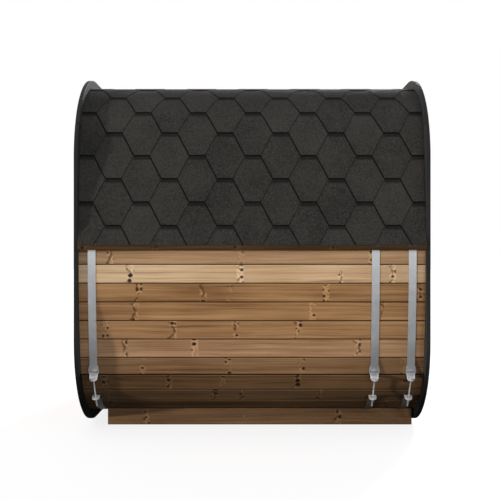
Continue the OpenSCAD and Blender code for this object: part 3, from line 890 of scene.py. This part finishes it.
# felt under the tabs, and caps along the middle of the roof
felt = {"lift": 0.0001, "thick": 0.0006, "step": 0.02, "inset": 0.002}
caps = {"shows": 0.1434, "length": 0.25, "low": 0.0056, "rise": 0.0026, "shortest": 0.02}
bm = bmesh.new()
for v in gridOf(bm, 2, round(2 * ridge / felt["step"])):
    run = v.co.y * 2 * (ridge - felt["inset"])
    v.co = overRidge(run, felt["lift"]) + alongX * v.co.x * 2 * roofEnd
layOn(shingles, bm, felt["thick"])
first = -roofEnd
while first < roofEnd - caps["shortest"]:
    last = min(first + caps["length"], roofEnd)
    bm = bmesh.new()
    uv = bm.loops.layers.uv.verify()
    tone = faceLayer(bm, "tone")
    cap = gridOf(bm, 3, 10)
    light = rng.uniform(-1, 1)
    for face in bm.faces:
        face[tone] = light
        for loop in face.loops:
            loop[uv].uv = (loop.vert.co.y * 2 * roof["caps"], 0.0)
    for v in cap:
        run, x = v.co.y * 2 * roof["caps"], first + (v.co.x + 0.5) * (last - first)
        lift = caps["low"] + caps["rise"] * (x - first) / caps["length"]
        v.co = overRidge(run, lift) + alongX * x
    layOn(shingles, bm, roof["thick"])
    first += caps["shows"]
addPiece("roof_tabs", shingles, shingleGrit, ["roof_shingles"])
print("roof covered")

# straps with their brackets and bolts
straps = {"ease": 0.0004, "paintedShade": 0.85}  # painted shade on the band under the floor
brackets = {"ease": 0.0006, "ear": 0.0045}  # the ear is the bright end


def boltAxis(spot):  # down along the tension bolts of that side
    return Vector((0, math.copysign(math.sin(bolts["turn"]), -spot.y), -math.cos(bolts["turn"])))


for place in ("rear", "middle", "front"):
    for part in ("over_roof", "under_floor"):
        bm = cadCopy(f"{place}_strap_{part}", 0.05)
        easeEdges(bm, straps["ease"], 1)
        paintedShade = faceLayer(bm, "paintedShade")
        for face in bm.faces:
            face[paintedShade] = straps["paintedShade"] if part == "under_floor" else 0.0
        addPiece(f"{place}_band_{part}", bm, bandSteel, [f"{place}_strap_{part}"])
    bm = cadCopy(f"{place}_strap_brackets", 0.05)
    easeEdges(bm, brackets["ease"], 2)
    paintedShade, matt = faceLayer(bm, "paintedShade"), faceLayer(bm, "matt")
    halfway = sum(v.co.z for v in bm.verts) / len(bm.verts)
    for patch in islandsOf(bm):
        spots = spotsOf(patch)
        axis = boltAxis(spots[0])
        ear = min(spot.dot(axis) for spot in spots) + brackets["ear"]
        if max(spot.z for spot in spots) < halfway:  # the lower ones are painted dark below their ears, as shade
            for face in patch:
                face[matt] = 1.0 if face.calc_center_median().dot(axis) < ear else 0.0
                face[paintedShade] = 1.0 - face[matt]
    addPiece(f"{place}_brackets", bm, zincSteel, [f"{place}_strap_brackets"])
    bm = cadCopy(f"{place}_strap_bolts", 0.05)
    easeEdges(bm, bolts["ease"], 1)
    thread = faceLayer(bm, "thread")
    for patch in islandsOf(bm):
        spots = spotsOf(patch)
        axis = boltAxis(spots[0])
        tip = max(spots, key=lambda spot: spot.dot(axis))
        heart = meanOf([spot for spot in spots if (spot - tip).dot(axis) > -1e-5])
        for face in patch:
            out = face.calc_center_median() - heart
            slim = (out - axis * out.dot(axis)).length < bolts["shank"]
            face[thread] = 1.0 if slim and abs(face.normal.dot(axis)) < 0.5 else 0.0
    addPiece(f"{place}_bolts", bm, zincSteel, [f"{place}_strap_bolts"])
print("straps finished")

# door
door = {
    "glassHold": 0.010,  # how far the pane goes into its groove
    "leafGap": 0.004,  # from the leaf to its frame
    "joint": 0.0003,  # half the gap between an upright and a rail
    "ease": 0.002,
    "bead": 0.009,
    "beadIn": 0.006,  # how far the beads lie behind the leaf's faces
    "beadGap": 0.0005,
    "gripOut": 0.03,  # the handle's edges are rounded from here outwards
    "gripEase": 0.006,
    "paneEase": 0.001,
}


def membersOf(node, half, name):  # cuts a frame into two uprights and the rails between them
    made = bmesh.new()
    gap = door["joint"]
    for first, last, grain in ((-2, -half - gap, alongZ), (-half + gap, half - gap, alongY),
                               (half + gap, 2, alongZ)):
        bm = cadCopy(node, 0.01)
        keepBetween(bm, alongY, first, last)
        turnOutwards(bm)
        easeEdges(bm, door["ease"], 2)
        layGrain(bm, grain)
        joinInto(made, bm)
    addPiece(name, made, doorWood, [node])


paneLow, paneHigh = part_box("door_glass")
leafLow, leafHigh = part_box("door_leaf")
openHalf = paneHigh.y - door["glassHold"]
membersOf("door_frame", leafHigh.y + door["leafGap"], "door_frame_members")
membersOf("door_leaf", openHalf, "door_stiles_and_rails")

beads = bmesh.new()
openLow, openHigh = paneLow.z + door["glassHold"], paneHigh.z - door["glassHold"]
sideways, bead = openHalf - door["bead"], door["bead"]
for outer, inner in ((leafHigh.x - door["beadIn"], paneHigh.x + door["beadGap"]),
                     (leafLow.x + door["beadIn"], paneLow.x - door["beadGap"])):
    inX, outX = min(outer, inner), max(outer, inner)
    for lowY, lowZ, highY, highZ, grain in (
        (-openHalf, openLow, -sideways, openHigh, alongZ),
        (sideways, openLow, openHalf, openHigh, alongZ),
        (-sideways, openLow, sideways, openLow + bead, alongY),
        (-sideways, openHigh - bead, sideways, openHigh, alongY),
    ):
        bm = bmesh.new()
        boxBetween(bm, (inX, lowY, lowZ), (outX, highY, highZ))
        easeEdges(bm, door["ease"], 3)
        layGrain(bm, grain)
        joinInto(beads, bm)
addPiece("glazing_beads", beads, doorWood, [])

bm = cadCopy("door_handle", 0.05)
gripFrom = leafHigh.x + door["gripOut"]
easeEdges(bm, door["gripEase"], 4, only=lambda e: max(v.co.x for v in e.verts) > gripFrom)
layGrain(bm, alongZ)
addPiece("door_handle_dressed", bm, darkWood, ["door_handle"])

bm = cadCopy("door_glass")
easeEdges(bm, door["paneEase"], 1)
addPiece("door_pane_dressed", bm, tintedGlass, ["door_glass"])

# hinges: two plates, a barrel of knuckles, and screws
hinge = {
    "plate": 0.0025,
    "gap": 0.0006,  # from a plate to the barrel's middle, and between knuckles
    "ease": 0.0006,
    "knuckles": 5,
    "barrel": 0.008,  # radius
    "knuckleEase": 0.0007,
    "screw": 0.004,  # radius of a head
    "screwHigh": 0.0012,
    "screwAside": 0.004,  # the screws stand in a zigzag
    "screwAt": (0.18, 0.50, 0.82),  # parts of the plate's height
}
hingeLow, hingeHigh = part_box("door_hinges")
hingeY = (hingeLow.y + hingeHigh.y) / 2
bm = cadCopy("door_hinges")
spans = []
for patch in islandsOf(bm):
    heights = [spot.z for spot in spotsOf(patch)]
    spans.append((min(heights), max(heights)))
bm.free()
hinges = bmesh.new()
for low, high in sorted(spans):
    for first, last, aside in ((hingeLow.y, hingeY - hinge["gap"], hinge["screwAside"]),
                               (hingeY + hinge["gap"], hingeHigh.y, -hinge["screwAside"])):
        bm = bmesh.new()
        boxBetween(bm, (hingeLow.x, first, low), (hingeLow.x + hinge["plate"], last, high))
        easeEdges(bm, hinge["ease"], 2)
        joinInto(hinges, bm)
        for k, part in enumerate(hinge["screwAt"]):
            bm = bmesh.new()
            head = bmesh.ops.create_cone(bm, cap_ends=True, segments=16, radius1=hinge["screw"],
                                         radius2=hinge["screw"] * 0.75,
                                         depth=hinge["screwHigh"])["verts"]
            bmesh.ops.rotate(bm, verts=head, cent=(0, 0, 0),
                             matrix=Matrix.Rotation(math.pi / 2, 3, "Y"))
            bmesh.ops.translate(bm, verts=head, vec=(
                hingeLow.x + hinge["plate"] + hinge["screwHigh"] / 2,
                (first + last) / 2 + (-aside if k == 1 else aside), low + (high - low) * part))
            joinInto(hinges, bm)
    step = (high - low) / hinge["knuckles"]
    for k in range(hinge["knuckles"]):
        bm = bmesh.new()
        bmesh.ops.create_cone(bm, cap_ends=True, segments=28, radius1=hinge["barrel"],
                              radius2=hinge["barrel"], depth=step - hinge["gap"])
        easeEdges(bm, hinge["knuckleEase"], 2, 60)
        place = (hingeLow.x + hinge["barrel"], hingeY, low + step * (k + 0.5))
        bmesh.ops.translate(bm, verts=bm.verts, vec=place)
        joinInto(hinges, bm)
addPiece("door_hinges_dressed", hinges, hingeSteel, ["door_hinges"])
print("door made")

# stage and lights
studio = {
    "floorSize": 40,
    "floorTone": 0.35,
    "floorBounce": 0.07,  # what the floor throws back on the cabin
    "floorGlow": 0.8,
    "floorInMetal": 0.18,  # how much of the white floor and backdrop shows in metal
    "backdropInMetal": 0.9,
    "skyLow": 0.12,
    "skyHigh": 0.42,
    "skyFrom": -0.15,  # the sky brightens between these heights
    "skyTo": 0.35,
    "skyBlue": 1.06,
}


def showWhite(tree, output, plain, white, inMetal):  # to the camera, through glass and in metal
    path = put(tree, "ShaderNodeLightPath").outputs
    seen = sums(tree, "MAXIMUM", path["Is Camera Ray"], path["Is Transmission Ray"])
    seen = sums(tree, "MAXIMUM", seen, times(tree, path["Is Glossy Ray"], inMetal))
    mix = put(tree, "ShaderNodeMixShader", {0: seen, 1: plain.outputs[0], 2: white.outputs[0]})
    feed(tree.nodes[output], {"Surface": mix.outputs[0]})


def grey(level):
    return (level, level, level, 1)


floorFinish, tree, shader = newFinish("floorFinish", Roughness=0.9)
toCamera = put(tree, "ShaderNodeLightPath").outputs["Is Camera Ray"]
feed(shader, {"Base Color": blendColour(tree, toCamera, grey(studio["floorBounce"]),
                                              grey(studio["floorTone"]))})
glow = put(tree, "ShaderNodeEmission", {"Color": grey(1), "Strength": studio["floorGlow"]})
bright = put(tree, "ShaderNodeAddShader", {0: shader.outputs[0], 1: glow.outputs[0]})
showWhite(tree, "Material Output", shader, bright, studio["floorInMetal"])
bm = bmesh.new()
bmesh.ops.create_grid(bm, x_segments=1, y_segments=1, size=studio["floorSize"])
ground = newObject("ground", meshFrom("floor", bm))
ground.data.materials.append(floorFinish)

lamps = {  # those that don't shine leave no glare on bare metal
    "left": {"towards": (-1, -0.29, 0.04), "power": 4.3, "spread": 3,
             "colour": (1, 0.91, 0.80), "shines": False},
    "front": {"towards": (0.45, -1, 0.08), "power": 1.0, "spread": 30,
              "colour": (0.97, 0.98, 1), "shines": False},
    "right": {"towards": (1, -0.35, 0.05), "power": 1.3, "spread": 15,
              "colour": (1, 0.98, 0.95), "shines": False},
    "behind": {"towards": (0.4, 1, 0.6), "power": 2.3, "spread": 14,
               "colour": (1, 1, 1), "shines": True},
}
for name, lamp in lamps.items():
    sun = newObject(name + "_sun", bpy.data.lights.new(name + "_sun", "SUN"))
    sun.data.energy, sun.data.color = lamp["power"], lamp["colour"]
    sun.data.angle = math.radians(lamp["spread"])
    sun.visible_glossy = lamp["shines"]
    sun.rotation_euler = Vector(lamp["towards"]).to_track_quat("Z", "Y").to_euler()

world = bpy.data.worlds.new("studio")
bpy.context.scene.world = world
world.use_nodes = True
tree = world.node_tree
sky = tree.nodes["Background"]
direction = split(tree, put(tree, "ShaderNodeTexCoord").outputs["Generated"])
level = ease(tree, direction[2], studio["skyFrom"], studio["skyTo"], studio["skyLow"],
             studio["skyHigh"])
blue = times(tree, level, studio["skyBlue"])
colour = put(tree, "ShaderNodeCombineColor", {0: level, 1: level, 2: blue})
feed(sky, {"Color": colour.outputs[0]})
backdrop = put(tree, "ShaderNodeBackground", {"Color": grey(1), "Strength": 1.0})
showWhite(tree, "World Output", sky, backdrop, studio["backdropInMetal"])
bpy.context.scene.view_settings.view_transform = "Standard"
print("stage lit")
